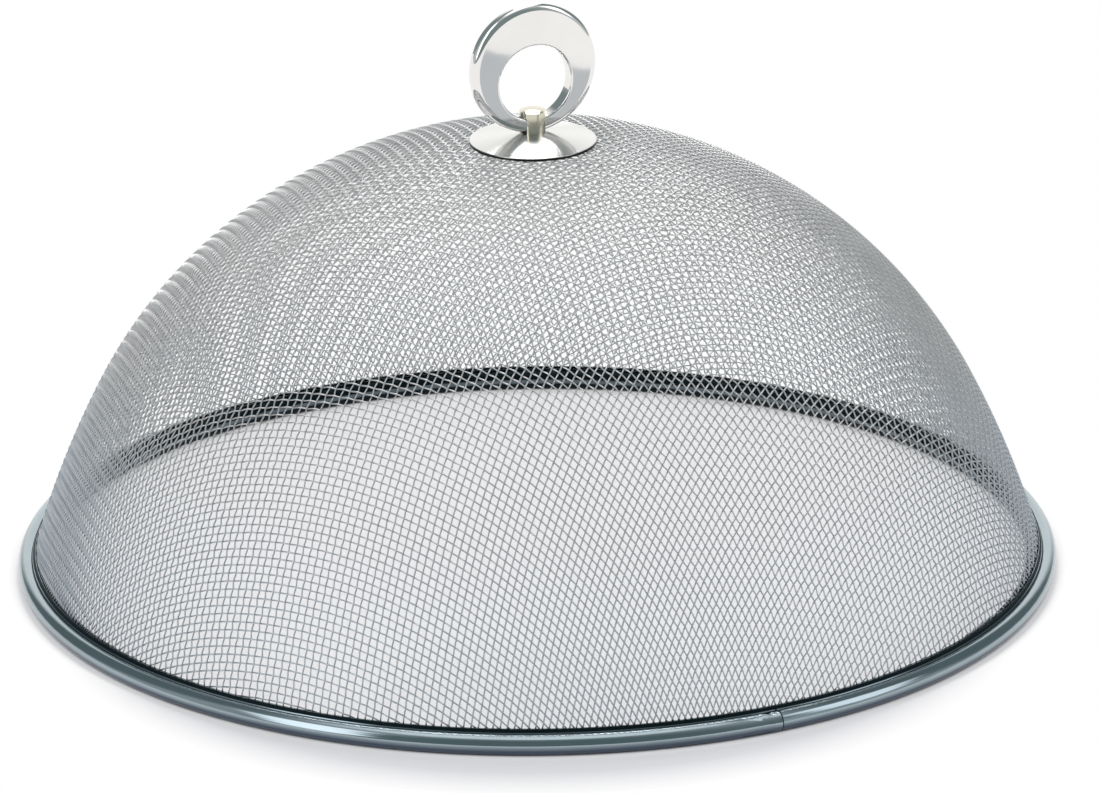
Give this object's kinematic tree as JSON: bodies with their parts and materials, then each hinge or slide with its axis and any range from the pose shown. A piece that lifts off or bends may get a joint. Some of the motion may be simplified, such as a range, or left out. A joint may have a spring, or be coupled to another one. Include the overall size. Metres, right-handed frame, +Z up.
{
  "type": "food cover",
  "caption": "Domed food cover of woven steel wire cloth on a rolled steel rim, lifted by an upright polished ring on a round base plate.",
  "frame": {"origin": "centre of the rim's foot, on the surface that the cover stands on", "axes": "+Z up along the dome's axis; the handle's ring lies in the XZ plane; -Y is the side of the lap in the rim"},
  "size_m": [0.3499, 0.3502, 0.1966],
  "materials": {
    "cloth_wire": "bright drawn wire",
    "rim_steel": "rolled, semi-bright",
    "hoop_steel": "plain drawn wire",
    "handle_plating": "polished nickel plating",
    "fixing_steel": "zinc plated"
  },
  "bodies": {
    "root": {"wire_cloth": "cloth_wire", "rim_band": "rim_steel", "rim_wire": "hoop_steel", "base_plate": "handle_plating", "handle_post": "handle_plating", "handle_ring": "handle_plating", "backing_washer": "fixing_steel", "fixing_nut": "fixing_steel"}
  },
  "joints": []
}
